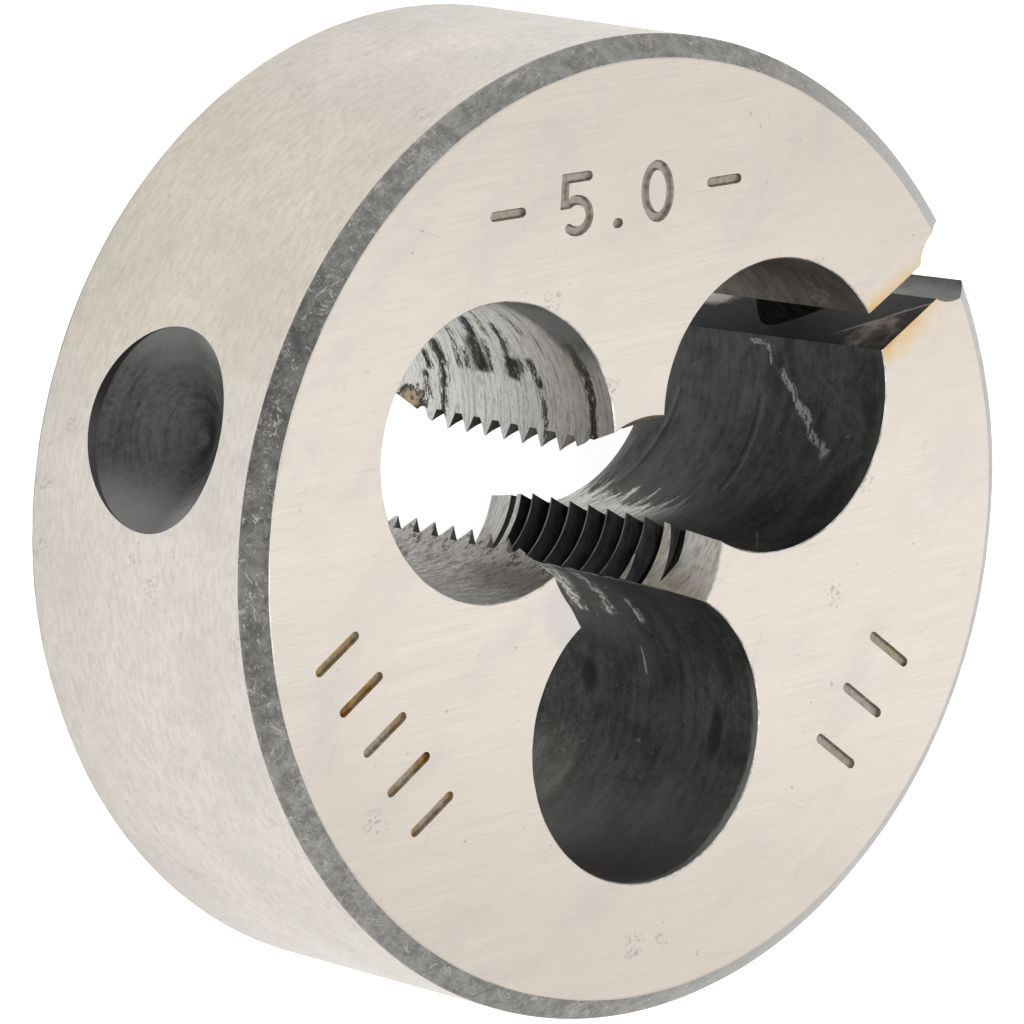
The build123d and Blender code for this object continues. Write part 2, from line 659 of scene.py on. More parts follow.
def start_group(name, inputs, outputs):
    group = bpy.data.node_groups.new(name, "ShaderNodeTree")
    for in_out, labels in (("INPUT", inputs), ("OUTPUT", outputs)):
        for label in labels:
            kind = socket_kinds.get(label, "NodeSocketFloat")
            group.interface.new_socket(label, in_out=in_out, socket_type=kind)
    return group, named(group.nodes.new("NodeGroupInput").outputs)


def end_group(group, **results):
    node(group, "NodeGroupOutput", results)
    print("node group", group.name, "with", len(group.nodes), "nodes")


def use_group(group, **inputs):
    return named(node(tree_of(inputs), "ShaderNodeGroup", inputs, node_tree=group).outputs)


# %% [markdown]
# ## Stretched noise
# Most marks on metal are longer one way than the other.
# Multiplying the position by three different numbers squeezes the noise along some axes and stretches it
# along others. The numbers are marks per millimetre, so a large number gives fine marks.

# %% Stretched noise
def marks(vector, per_mm, detail=3.0, roughness=0.6, distortion=0.0):
    inputs = {"Vector": vectors("MULTIPLY", vector, per_mm), "Scale": 1.0}
    inputs |= {"Detail": detail, "Roughness": roughness, "Distortion": distortion}
    return worked_out("ShaderNodeTexNoise", inputs)


# %% [markdown]
# ## Shared effect: lines left by a grinding wheel
# Grinding leaves thousands of fine parallel scratches, which run along X here.
# Two sizes are mixed, because some grains of the wheel cut deeper than the rest.

# %% Group: grinding lines
group_lines, given = start_group("grinding_lines", ["Vector"], ["Height", "Shade", "Deep"])
where = given["Vector"]
fine = marks(where, (0.45, 15.0, 15.0), 4.0, 0.75)
broad = marks(where, (0.14, 2.4, 2.4), 4.0, 0.7)
deep = fade(marks(where, (0.3, 10.0, 10.0), 2.0), 0.66, 0.74)
end_group(group_lines, Height=fine + broad * 0.3 - deep * 0.4, Shade=fine * 0.65 + broad * 0.35, Deep=deep)

# %% [markdown]
# ## Shared effect: stains, pits and stray scratches
# Handled steel has soft stains, small groups of pits, and a few long stray scratches.
# Voronoi cells place the groups far apart, and fine noise cuts the single pits out of each group.
# Very long thin marks in two directions, cut off high, leave only a few stray scratches.

# %% Group: stains and pits
group_stains, given = start_group("stains_and_pits", ["Vector"], ["Stain", "Pit", "Scratch"])
where = given["Vector"]
stain = fade(marks(where, (0.35, 0.35, 0.35), 6.0, 0.66), 0.36, 0.66)
bent = marks(where, (1.2, 1.2, 1.2), 3.0)
cells = worked_out("ShaderNodeTexVoronoi", {"Vector": where, "Scale": 0.42, "Randomness": 1.0})
cluster = fade(cells + bent * 0.25, 0.33, 0.2)
grain = marks(where, (8.0, 8.0, 8.0), 2.0, 0.7, 0.3)
lone = fade(marks(where, (4.2, 4.2, 4.2), 2.0), 0.725, 0.76)
pit = larger(fade(grain, 0.53, 0.6) * cluster, lone)
crossing = turned(where, 0.9)
one_way = marks(crossing, (0.14, 7.0, 7.0), 1.0)
other_way = marks(crossing, (8.0, 0.2, 8.0), 1.0)
scratch = fade(larger(one_way, other_way), 0.755, 0.785)
end_group(group_stains, Stain=stain, Pit=pit, Scratch=scratch)

# %% [markdown]
# ## Shared effect: nicks and rubbed spots
# Edges knock against other tools. What shows is short bright scratches in all directions.

# %% Group: nicks
group_nicks, given = start_group("nicks_and_rubs", ["Vector", "Amount"], ["Nick", "Rub"])
where = given["Vector"]
first = marks(where, (1.3, 7.0, 10.0), 3.0, 0.7, 0.8)
second = marks(where, (8.0, 1.5, 7.0), 3.0, 0.7, 0.8)
limit = 0.78 - given["Amount"] * 0.2
nick = fade(larger(first, second) - limit, 0.0, 0.05)
rub = fade(marks(where, (0.8, 0.8, 1.6), 4.0, 0.65), 0.45, 0.68)
end_group(group_nicks, Nick=nick, Rub=rub)

# %% [markdown]
# ## Shared effect: unrolling the wall of a chip hole
# Marks in a hole follow its wall. The wall is unrolled like a label from a tin:
# X is the way round in millimetres, measured from the side nearest the rim, and Y is the height in the die.
# The seam of the label falls where the hole opens into the bore, so it is never seen.

# %% Group: unrolled wall
group_wall, given = start_group("unrolled_wall", ["Vector", "Direction"], ["Wall", "Around", "Height"])
direction = given["Direction"]
x, y, z = split(turned(given["Vector"], direction * -1.0))
around = maths("ARCTAN2", y, x - chip_hole_circle) * chip_hole_radius
end_group(group_wall, Wall=join(around, z, direction * 17.0), Around=around, Height=z)

# %% [markdown]
# ## Shared effect: heat tint
# The slot is ground with a thin wheel after hardening, and the steel beside it gets hot.
# A thin oxide film turns it straw yellow, then orange and brown at the very edge.
# The same colours stay in the engraved strokes and in patches on the throats.

# %% Group: heat tint
group_tint, given = start_group("heat_tint", ["Colour", "Heat"], ["Colour"])
ramp = node(group_tint, "ShaderNodeValToRGB", {0: given["Heat"]})
ramp.color_ramp.elements[0].color = (1, 1, 1, 1)
ramp.color_ramp.elements[1].color = (0.16, 0.085, 0.05, 1)
for place, tone in ((0.3, (1.0, 0.9, 0.7, 1)), (0.6, (0.93, 0.66, 0.32, 1)), (0.82, (0.6, 0.32, 0.13, 1))):
    ramp.color_ramp.elements.new(place).color = tone
end_group(group_tint, Colour=blend(1.0, given["Colour"], Value(ramp.outputs[0]), "MULTIPLY"))

# %% [markdown]
# ## Starting and finishing a material
# Positions come from the object itself, in millimetres, so a pattern keeps its real size.
# The shader stays in the material, and its fixed numbers are written on its own sockets.
# At the end the colour, the roughness and the height of the bumps are plugged into it.

# %% Material helpers
def start_material(name, metallic=1.0, roughness=0.45):
    material = bpy.data.materials[name]
    material.use_nodes = True
    tree = material.node_tree
    tree.nodes.clear()
    shader = node(tree, "ShaderNodeBsdfPrincipled", {"Metallic": metallic, "Roughness": roughness})
    output = node(tree, "ShaderNodeOutputMaterial", {"Surface": Value(shader.outputs[0])})
    output.is_active_output = True
    where = Value(node(tree, "ShaderNodeTexCoord").outputs["Object"])
    return shader, worked_out("ShaderNodeVectorMath", {0: where, "Scale": 1000.0}, operation="SCALE")


def finish_material(shader, colour, roughness, height, depth_mm):
    inputs = {"Height": height, "Distance": depth_mm * 0.001, "Strength": 1.0}
    normal = worked_out("ShaderNodeBump", inputs)
    for name, value in (("Base Color", colour), ("Roughness", roughness), ("Normal", normal)):
        colour.tree.links.new(value.socket, shader.inputs[name])


def near_point(around, height, place, reach):
    across = (around - place[0]) / reach[0]
    upward = (height - place[1]) / reach[1]
    return fade(length(join(across, upward)), 1.0, 0.45)


# %% [markdown]
# ## Ground face
# Both faces are ground flat, with lines that run the same way across the whole die.
# The steel is a warm pale grey. Its lines, stains and pits are faint, a yellow film follows the slot,
# and a small cool grey patch lies beside the bore.
# Away from a band through its middle the face is painted a little darker, as a painted reflection.

# %% Material: ground face
shader, position = start_material("ground_face", 1.0, 0.42)
lines = use_group(group_lines, Vector=turned(position, radians(27.4)))
stains = use_group(group_stains, Vector=position)
steel = two_tone(lines["Shade"], (0.62, 0.563, 0.505), (0.775, 0.712, 0.645))
steel = over(stains["Stain"], 0.5, (0.72, 0.635, 0.56), steel)
greyer = marks(position, (0.22, 0.5, 0.5), 5.0, 0.7)
steel = coated(steel, [
    (fade(greyer, 0.46, 0.66), 0.45, (0.6, 0.56, 0.525)),
    (lines["Deep"], 0.25, (0.5, 0.45, 0.41)),
    (stains["Scratch"], 0.25, (0.45, 0.42, 0.4)),
])
x, y = split(position)[:2]
# Painted reflection: the face is painted darker away from a band through its middle, where the studio's
# reflection falls off.
off_middle = abs((x + y) * 0.7071)
steel = toned(fade(off_middle, 2.0, 11.5), (0.86, 0.855, 0.85), steel)
off_slot = abs(y + 0.45) - 0.55
beside_slot = fade(x, 8.2, 9.2) * fade(x, 11.6, 9.9, 0.4, 1.0)
wavering = marks(position, (1.1, 1.1, 1.1), 4.0)
heat = worked_out("ShaderNodeClamp", {0: (wavering * 1.5 - off_slot * 1.3) * 0.75})
tinted = use_group(group_tint, Colour=steel, Heat=heat * beside_slot)["Colour"]
cool_patch = near_point(x, y, (-3.2, -0.4), (0.9, 1.3))
tinted = over(cool_patch, 0.4, (0.5, 0.515, 0.53), tinted)
final = over(stains["Pit"], 0.5, (0.25, 0.245, 0.25), tinted)
finish_material(shader, final, fade(lines["Shade"], 0.3, 0.7, 0.38, 0.48), lines["Height"], 0.004)

# %% [markdown]
# ## Ground rim
# The rim is ground while the die spins, so its lines run round it.
# Squeezing the noise along the axis alone gives them, and the curve of the rim does the rest.
# Over them lies a finer pebbled grain, which keeps the rim from looking like brushed sheet.
# To one side of the dimple the steel is a little warmer and darker.

# %% Material: ground rim
shader, position = start_material("ground_rim")
fine = marks(position, (1.4, 1.4, 13.0), 4.0, 0.75)
broad = marks(position, (0.3, 0.3, 2.2), 4.0, 0.7)
pebbles = marks(position, (3.2, 3.2, 6.5), 5.0, 0.78)
stains = use_group(group_stains, Vector=position)
clouds = marks(position, (0.35, 0.35, 0.5), 5.0, 0.7)
steel = two_tone(fine, (0.57, 0.535, 0.482), (0.65, 0.618, 0.566))
steel = coated(steel, [
    (fade(clouds, 0.44, 0.62), 0.5, (0.63, 0.583, 0.555)),
    (fade(clouds, 0.46, 0.34), 0.4, (0.6, 0.567, 0.5)),
    (fade(pebbles, 0.42, 0.66), 0.5, (0.46, 0.442, 0.41)),
    (fade(broad, 0.35, 0.65), 0.2, (0.64, 0.612, 0.56)),
    (stains["Stain"], 0.35, (0.46, 0.442, 0.402)),
])
toward_warm = reach_along(position, (-0.0204, 0.0761, 0.0))
steel = toned(fade(toward_warm, 0.86, 0.99), (0.96, 0.925, 0.89), steel)
final = over(stains["Pit"], 0.45, (0.25, 0.24, 0.23), steel)
finish_material(shader, final, fade(pebbles, 0.35, 0.7, 0.4, 0.55), pebbles * 0.8 + fine, 0.005)

# %% [markdown]
# ## Worn chamfer
# The chamfers are turned before hardening, so they keep the furnace's grey oxide.
# Handling has left curled scratches in spots. The oxide is painted paler away from the side toward the
# camera, and the far side carries a painted bright reflection.
# The edges broken along the chip holes are bare steel, worn more in some places than in others.

# %% Materials: worn chamfer and broken edge
shader, position = start_material("worn_chamfer")
nicks = use_group(group_nicks, Vector=position, Amount=0.8)
mottle = marks(position, (2.6, 2.6, 3.2), 6.0, 0.85)
curls = abs(marks(position, (1.5, 1.5, 1.5), 3.0, 0.65, 0.5) - 0.5)
spots = fade(marks(position, (0.8, 0.8, 0.8), 4.0, 0.7), 0.44, 0.58)
curled = fade(curls, 0.016, 0.005) * spots
# Painted light: the side toward the camera keeps the dark oxide, the rest is painted paler, and the far
# side gets a painted bright reflection.
toward_camera_side = reach_along(position, (-0.0587, 0.0548, 0.0))
painted_paler_side = fade(toward_camera_side, 0.99, 0.76)
painted_far_highlight = fade(toward_camera_side, 0.0, -0.75)
oxide = two_tone(mottle, (0.085, 0.084, 0.08), (0.165, 0.163, 0.156), 0.4, 0.6)
paler_lit_oxide = two_tone(mottle, (0.2, 0.193, 0.182), (0.34, 0.33, 0.313), 0.4, 0.6)
oxide = blend(painted_paler_side * 0.85, oxide, paler_lit_oxide)
oxide = coated(oxide, [
    (painted_far_highlight, 0.7, (0.52, 0.51, 0.495)),
    (nicks["Rub"], 0.22, (0.36, 0.355, 0.34)),
    (curled, 0.4, (0.55, 0.54, 0.52)),
])
final = over(nicks["Nick"], 0.45, (0.6, 0.585, 0.56), oxide)
finish_material(shader, final, fade(mottle, 0.3, 0.7, 0.38, 0.58), mottle - nicks["Nick"], 0.006)

shader, position = start_material("broken_edge", 1.0, 0.4)
worn = marks(position, (1.6, 1.6, 1.6), 4.0, 0.75)
colour = two_tone(worn, (0.36, 0.345, 0.32), (0.72, 0.69, 0.645), 0.4, 0.62)
finish_material(shader, colour, fade(worn, 0.3, 0.7, 0.5, 0.34), worn, 0.004)


# %% [markdown]
# ## Walls of the chip holes
# The holes are bored and then blackened in the hardening furnace.
# Faint rings from the boring tool go round the wall, and the wheel that sharpens the teeth
# has rubbed bright streaks into the oxide beside them.
# Each hole adds its own marks: a mask in the unrolled wall says where each of them lies.

# %% Helpers for the marks on a wall
def hole_wall(name, direction):
    shader, position = start_material(name)
    wall = use_group(group_wall, Vector=position, Direction=radians(direction))
    return shader, wall["Wall"], wall["Around"], wall["Height"]


def plain_oxide(wall, dark=0.05, light=0.128):
    rings = marks(wall, (0.2, 3.4, 1.0), 5.0, 0.7, 0.3)
    clouds = marks(wall, (0.6, 0.8, 1.0), 6.0, 0.7, 0.5)
    grit = marks(wall, (4.0, 4.6, 1.0), 4.0, 0.8)
    tone = rings * 0.22 + grit * 0.28 + clouds * 0.5
    colour = two_tone(tone, (dark, dark, dark * 1.01), (light, light, light * 0.985), 0.4, 0.61)
    specks = marks(wall, (3.6, 2.4, 1.0), 2.0, 0.6)
    colour = over(fade(specks, 0.31, 0.25), 0.6, (0.02, 0.02, 0.021), colour)
    colour = over(fade(specks, 0.72, 0.76), 0.5, (0.3, 0.29, 0.28), colour)
    return colour, grit * 0.4 + rings * 0.8


def near_line(wall, start, end, wobble, width):
    start, end = Vector((*start, 0)), Vector((*end, 0))
    half = (end - start).length / 2
    way = (end - start).normalized()
    side = Vector((-way.y, way.x, 0))
    sideways = abs(reach_along(wall, side) - start.dot(side) + wobble)
    off_middle = abs(reach_along(wall, way) - (start.dot(way) + half))
    return fade(sideways, width, width * 0.35) * fade(off_middle, half, half - 0.15)


def near_lines(wall, wobble, lines):
    mask = 0.0
    for start, end, width in lines:
        mask = larger(mask, near_line(wall, start, end, wobble, width))
    return mask


# %% [markdown]
# The hole with the slot is black. Its marks are bright streaks low down beside the teeth, two deeper rings,
# one crooked scratch made of crumbs, and a few chips. Beyond the slot the wall is brownish grey.

# %% Material: slotted hole
shader, wall, around, height = hole_wall("slotted_hole", 0.0)
colour, relief = plain_oxide(wall)
grime = marks(wall, (0.9, 2.2, 1.0), 5.0, 0.75)
brownish = two_tone(grime, (0.145, 0.13, 0.116), (0.3, 0.273, 0.241))
colour = blend(fade(around, -0.7, 0.1), colour, brownish)
streaks = marks(wall, (0.7, 4.6, 1.0), 6.0, 0.78, 0.5)
worn = fade(streaks * 5.6 - around, 9.35, 9.7) * fade(height, 4.6, 2.6)
smear = fade(streaks * 3.0 - around, 6.0, 8.0) * fade(height, 7.0, 2.0)
worn_edge = fade(streaks * 1.6 - height, 0.3, 0.9) * fade(around, -3.2, -5.6)
paler = fade(height, 5.4, 2.4) * fade(grime, 0.36, 0.6)
colour = coated(colour, [
    (paler, 0.4, (0.19, 0.18, 0.168)),
    (smear, 0.4, (0.2, 0.195, 0.185)),
    (worn_edge, 0.6, (0.5, 0.485, 0.46)),
])
scuffed = marks(wall, (1.2, 8.0, 1.0), 5.0, 0.85)
scuffed = two_tone(scuffed, (0.46, 0.445, 0.415), (1.0, 0.98, 0.935), 0.38, 0.58)
colour = blend(worn * 0.92, colour, scuffed)
slight = streaks * 0.12 - 0.06
dark_rings = near_lines(wall, slight, [
    ((-2.7, 4.55), (-5.8, 4.62), 0.08),
    ((-2.9, 1.5), (-6.3, 1.05), 0.09),
])
pale_rings = near_lines(wall, slight, [
    ((-2.7, 4.72), (-5.8, 4.79), 0.06),
    ((-2.9, 1.32), (-6.3, 0.87), 0.07),
])
colour = over(dark_rings, 0.4, (0.03, 0.03, 0.03), colour)
colour = over(pale_rings, 0.4, (0.24, 0.23, 0.22), colour)
crumbs = marks(wall, (5.0, 7.5, 1.0), 3.0, 0.7)
wander = marks(wall, (1.1, 1.1, 1.0), 4.0, 0.65) * 0.8 - 0.4
crooked = near_lines(wall, wander, [
    ((-1.3, 4.1), (-1.35, 4.85), 0.07),
    ((-1.3, 4.9), (-2.0, 5.0), 0.08),
    ((-2.05, 5.2), (-4.2, 7.6), 0.16),
]) * fade(crumbs, 0.41, 0.52)
nicks = use_group(group_nicks, Vector=wall, Amount=0.2)
chips = near_lines(wall, slight, [((0.2, 7.3), (0.75, 8.2), 0.3), ((1.6, 8.0), (0.6, 7.7), 0.09)])
chips *= fade(crumbs, 0.47, 0.56)
tick = near_lines(wall, slight, [((-7.0, 7.45), (-8.2, 8.8), 0.025)])
colour = coated(colour, [
    (crooked, 0.75, (0.56, 0.55, 0.525)),
    (tick, 0.6, (0.5, 0.49, 0.47)),
    (chips, 0.6, (0.5, 0.47, 0.43)),
    (nicks["Nick"], 0.45, (0.4, 0.39, 0.37)),
])
finish_material(shader, colour, fade(worn, 0.0, 1.0, 0.52, 0.4), relief - dark_rings, 0.008)

# %% [markdown]
# The hole beside it is rubbed to bright steel on one side of the bore and mid grey on the other.
# What is left of its oxide is a few torn black streaks, a dark crescent under the front face,
# and a golden spot with a black rim at the back. Each streak is a line on the unrolled wall:
# its start, its end and its width. Stretched noise tears its edges.

# %% Material: rubbed hole
shader, wall, around, height = hole_wall("rubbed_hole", 120.6)
oxide, relief = plain_oxide(wall, 0.03, 0.09)
ripple = marks(wall, (0.5, 9.0, 1.0), 4.0, 0.8)
cloud = marks(wall, (0.9, 1.6, 1.0), 5.0, 0.75)
bright = two_tone(ripple, (0.62, 0.6, 0.57), (1.0, 0.985, 0.95), 0.34, 0.54)
bright = over(fade(cloud, 0.46, 0.64), 0.35, (0.58, 0.55, 0.51), bright)
bright = over(fade(height, 4.4, 2.2), 0.6, (1.0, 0.985, 0.95), bright)
bright = toned(fade(height, 5.8, 8.2), (0.8, 0.78, 0.75), bright)
gritty = marks(wall, (3.5, 13.0, 1.0), 4.0, 0.85)
bright = over(fade(gritty, 0.49, 0.36), 0.6, (0.3, 0.288, 0.27), bright)
torn = marks(wall, (2.6, 9.0, 1.0), 5.0, 0.8, 0.4)
ragged = torn * 1.1 - 0.55
black = near_lines(wall, ragged, [
    ((-8.2, 2.6), (-9.15, 2.72), 0.3),
    ((-8.9, 2.7), (-10.5, 2.55), 0.2),
    ((-8.6, 2.05), (-9.3, 2.12), 0.2),
    ((-9.2, 1.9), (-10.1, 2.0), 0.12),
    ((-7.7, 3.54), (-9.1, 3.42), 0.1),
    ((-8.3, 3.85), (-9.1, 3.8), 0.09),
    ((-7.1, 4.6), (-8.2, 4.4), 0.26),
    ((-7.9, 4.36), (-9.1, 4.34), 0.46),
    ((-7.9, 4.86), (-9.05, 4.76), 0.12),
    ((-6.8, 5.2), (-7.9, 5.15), 0.07),
    ((-7.2, 5.72), (-8.6, 5.62), 0.17),
    ((-8.35, 5.68), (-9.15, 5.58), 0.42),
    ((-8.3, 6.08), (-8.9, 5.98), 0.12),
    ((-8.3, 6.4), (-9.3, 6.62), 0.18),
    ((-9.2, 6.62), (-10.6, 6.66), 0.1),
    ((-6.7, 6.5), (-7.6, 6.75), 0.07),
    ((-7.5, 8.4), (-8.7, 8.62), 0.32),
    ((-8.3, 8.6), (-10.6, 8.55), 0.2),
])
thin = fade(marks(wall, (0.4, 8.0, 1.0)), 0.62, 0.68) * fade(around, -9.8, -7.6, 0.0, 0.8)
black = larger(black * fade(torn, 0.35, 0.43), thin)
cut_off = around * 0.4 + ragged * 0.8 + height
crescent = fade(cut_off, 4.7, 5.15) * fade(around, -8.6, -7.5)
upper = blend(black, bright, oxide)
film = two_tone(gritty, (0.11, 0.107, 0.103), (0.21, 0.203, 0.195))
upper = blend(crescent * 0.9, upper, film)
bitten = marks(wall, (4.5, 4.5, 1.0), 5.0, 0.85) * 1.8 - 0.9
torn_height = height + bitten
torn_around = bitten * 0.6 + around
spot_rim = fade(near_point(torn_around, torn_height, (-10.15, 1.3), (0.5, 0.8)), 0.2, 0.5)
upper = over(spot_rim, 0.95, (0.03, 0.025, 0.02), upper)
golden = near_point(torn_around, torn_height, (-10.15, 1.2), (0.3, 0.5))
upper = over(golden, 0.9, (0.66, 0.51, 0.35), upper)
scored = marks(turned(wall, radians(-30.0)), (2.6, 6.0, 1.0), 6.0, 0.85)
lower = two_tone(scored, (0.26, 0.248, 0.23), (0.86, 0.84, 0.79), 0.34, 0.66)
pits = fade(around, 8.2, 10.2) * 0.11 + marks(wall, (3.6, 4.6, 1.0), 4.0, 0.8)
lower = coated(lower, [
    (fade(cloud, 0.45, 0.65), 0.4, (0.34, 0.3, 0.25)),
    (near_point(around, height, (9.5, 8.1), (1.0, 2.3)), 0.6, (0.26, 0.215, 0.17)),
    (fade(around + ragged, 9.6, 10.1), 0.55, (0.72, 0.7, 0.66)),
    (fade(gritty, 0.46, 0.37), 0.55, (0.1, 0.095, 0.088)),
    (fade(pits, 0.64, 0.7), 0.8, (0.06, 0.055, 0.05)),
    (fade(torn, 0.36, 0.31), 0.75, (0.05, 0.048, 0.045)),
])
colour = blend(fade(around, -0.5, 0.5), upper, lower)
colour = blend(fade(abs(around), 5.4, 6.2), oxide, colour)
finish_material(shader, colour, fade(black, 0.0, 1.0, 0.4, 0.52), ripple * 0.8 + relief, 0.008)

# %% [markdown]
# The third hole is black like the first, with bright scrapes beside the teeth and dust over it.
# Further round it has one upright scratch, two dents and a paler patch at the back.
# Its front edge is chipped.

# %% Material: plain hole
shader, wall, around, height = hole_wall("plain_hole", 241.0)
colour, relief = plain_oxide(wall)
colour = over(fade(around, 4.5, 1.0), 0.6, (0.21, 0.204, 0.192), colour)
streaks = marks(turned(wall, radians(14.0)), (1.4, 4.4, 1.0), 6.0, 0.8, 0.6)
wobble = streaks - 0.5
scrapes = near_lines(wall, wobble, [
    ((10.7, 3.2), (8.9, 2.95), 0.6),
    ((9.2, 2.9), (7.9, 3.05), 0.36),
    ((10.0, 4.3), (8.0, 4.3), 0.3),
    ((9.0, 5.3), (7.9, 5.5), 0.14),
])
broken = marks(wall, (4.0, 6.0, 1.0), 4.0, 0.8, 0.5)
worn = scrapes * fade(broken, 0.43, 0.53)
scraped = near_point(around, height, (9.3, 3.9), (2.9, 2.6))
crumbs = fade(broken, 0.62, 0.66) * scraped
dragged = near_lines(wall, wobble, [((9.2, 6.2), (7.2, 6.2), 0.4)])
upright = near_lines(wall, wobble * 0.15, [((7.2, 4.97), (6.3, 4.99), 0.05)])
patch = near_point(around, height + wobble, (3.4, 1.5), (1.7, 1.6))
dents = larger(
    near_point(around, height, (6.0, 2.7), (0.7, 0.4)),
    near_point(around, height, (5.2, 7.8), (0.9, 0.35)),
)
teeth_edge = fade(around, 10.08, 10.2) * fade(broken, 0.46, 0.54)
front_edge = fade(height + wobble * 0.5, 9.08, 9.22) * fade(around, 7.6, 6.0)
nicks = use_group(group_nicks, Vector=wall, Amount=0.42)
paler = fade(height, 6.2, 7.4) * fade(around, 4.6, 6.0)
colour = toned(paler, (1.7, 1.67, 1.6), colour)
dust = marks(wall, (5.0, 3.0, 1.0), 4.0, 0.85)
colour = coated(colour, [
    (fade(dust, 0.59, 0.68), 0.35, (0.27, 0.26, 0.245)),
    (scraped, 0.35, (0.3, 0.29, 0.27)),
    (dragged, 0.3, (0.26, 0.25, 0.235)),
])
colour = toned(patch, (1.75, 1.76, 1.62), colour)
colour = coated(colour, [
    (dents, 0.75, (0.02, 0.022, 0.027)),
    (crumbs, 0.75, (0.62, 0.6, 0.57)),
    (worn, 0.95, (0.95, 0.93, 0.88)),
    (upright, 0.8, (0.6, 0.58, 0.55)),
    (teeth_edge, 0.85, (0.85, 0.83, 0.79)),
    (front_edge, 0.7, (0.46, 0.45, 0.42)),
    (nicks["Nick"], 0.4, (0.34, 0.33, 0.31)),
])
finish_material(shader, colour, fade(worn, 0.0, 1.0, 0.52, 0.4), relief - dents * 1.5, 0.008)

# %% [markdown]
# ## Throats and teeth
# The throats are ground bright, with slanting scratches and a little golden heat colour.
# The front one is darker than the back one, and brown on the land between the first two holes.
# The teeth keep their oxide. Their flanks are rubbed only beside the second hole, and the crests are
# worn a little paler than the flanks.

# %% Materials: throat, crest and flank
shader, position = start_material("brushed_throat", 0.7, 0.5)
x, y, z = split(position)
front = fade(z, 4.0, 6.0)
round_it = maths("ARCTAN2", y, x) * 2.6
unrolled = join(round_it, z - round_it * 0.36)
brushed = marks(unrolled, (1.6, 9.0, 1.0), 7.0, 0.88)
patches = marks(unrolled, (0.6, 1.6, 1.0), 4.0, 0.7)
steel = two_tone(brushed, (0.5, 0.49, 0.465), (1.0, 0.99, 0.965), 0.38, 0.56)
steel = toned(front, (0.7, 0.685, 0.645), steel)
steel = over(fade(patches, 0.5, 0.4), 0.3, (0.34, 0.33, 0.3), steel)
other_land = fade(round_it, 1.2, 1.4) * fade(round_it, 4.3, 4.1) * front
steel = toned(other_land, (0.4, 0.34, 0.3), steel)
browned = fade(round_it, -2.7, -3.4) * fade(round_it, -4.2, -4.1) * fade(patches, 0.38, 0.56)
steel = over(browned, 0.6, (0.36, 0.295, 0.21), steel)
final = use_group(group_tint, Colour=steel, Heat=fade(patches, 0.52, 0.78, 0.0, 0.32))["Colour"]
finish_material(shader, final, fade(brushed, 0.3, 0.7, 0.5, 0.64), brushed, 0.008)

shader, position = start_material("thread_crest", 1.0, 0.35)
worn = marks(position, (2.0, 2.0, 5.0), 3.0)
colour = two_tone(worn, (0.1, 0.1, 0.098), (0.3, 0.29, 0.28))
finish_material(shader, colour, fade(worn, 0.3, 0.7, 0.3, 0.45), worn, 0.003)

shader, position = start_material("thread_flank", 1.0, 0.5)
tooled = marks(position, (1.5, 1.5, 12.0), 3.0)
x, y = split(turned(position, radians(-120.6)))[:2]
from_hole = length(join(x - chip_hole_circle, y))
rubbed = fade(from_hole, chip_hole_radius + 0.7, chip_hole_radius + 0.1)
final = two_tone(tooled, (0.015, 0.015, 0.016), (0.042, 0.042, 0.042))
final = over(rubbed, 0.8, (0.34, 0.33, 0.31), final)
finish_material(shader, final, fade(tooled, 0.3, 0.7, 0.42, 0.55), tooled, 0.004)

# %% [markdown]
# ## Slot, groove and cone
# The slot's walls are dark, with a brown film where the wheel broke through near the front face.
# A thin painted highlight marks the border between the two, standing for light caught on a tiny step, and a
# pale smear lies low down near the rim.
# The rounded groove was cut earlier and is mid grey. The cone for the screw is black oxide, and its
# near-black colour with no shine is partly painted shade of its depth.

# %% Materials: slot, groove and cone
shader, position = start_material("slot_wall")
lines = use_group(group_lines, Vector=position)
x, _, z = split(position)
waver = marks(position, (1.5, 1.5, 1.5), 3.0) * 0.3 - 0.15
border = z + 5.69 - x * 1.356 + waver
patch = fade(border, -0.12, 0.12)
# Painted highlight: a thin bright line along the border stands for light caught on a tiny step there.
painted_edge_highlight = fade(abs(border), 0.11, 0.03) * fade(z, 6.9, 7.6)
smoke = marks(position, (1.6, 1.6, 1.6), 5.0, 0.7)
film_reach = length(vectors("SUBTRACT", position, (9.75, -1.1, 8.35))) + 0.8 - smoke * 1.6
film = fade(film_reach, 1.15, 0.25) * patch
dark = two_tone(lines["Shade"], (0.042, 0.041, 0.04), (0.105, 0.103, 0.1))
black = two_tone(smoke, (0.01, 0.009, 0.008), (0.032, 0.027, 0.023))
brown = two_tone(smoke, (0.09, 0.066, 0.052), (0.36, 0.3, 0.26), 0.36, 0.66)
dark = toned(fade(z, 4.0, 5.2), (0.34, 0.33, 0.31), dark)
torn = marks(position, (5.0, 5.0, 3.0), 5.0, 0.85) * 2.2 - 1.1
smear = near_point(x, z + torn, (10.35, 1.5), (0.5, 1.0))
dark = over(smear, 0.85, (0.95, 0.93, 0.88), dark)
final = blend(patch, dark, black)
final = blend(film, final, brown)
final = over(painted_edge_highlight, 0.6, (0.42, 0.39, 0.36), final)
finish_material(shader, final, fade(lines["Shade"], 0.3, 0.7, 0.4, 0.55), lines["Height"], 0.004)

shader, position = start_material("rim_groove")
mottle = marks(position, (1.8, 1.8, 1.0), 5.0, 0.7)
nicks = use_group(group_nicks, Vector=position, Amount=0.3)
final = two_tone(mottle, (0.09, 0.09, 0.088), (0.2, 0.2, 0.195))
final = over(nicks["Nick"], 0.6, (0.6, 0.59, 0.56), final)
finish_material(shader, final, fade(mottle, 0.3, 0.7, 0.4, 0.55), mottle, 0.006)

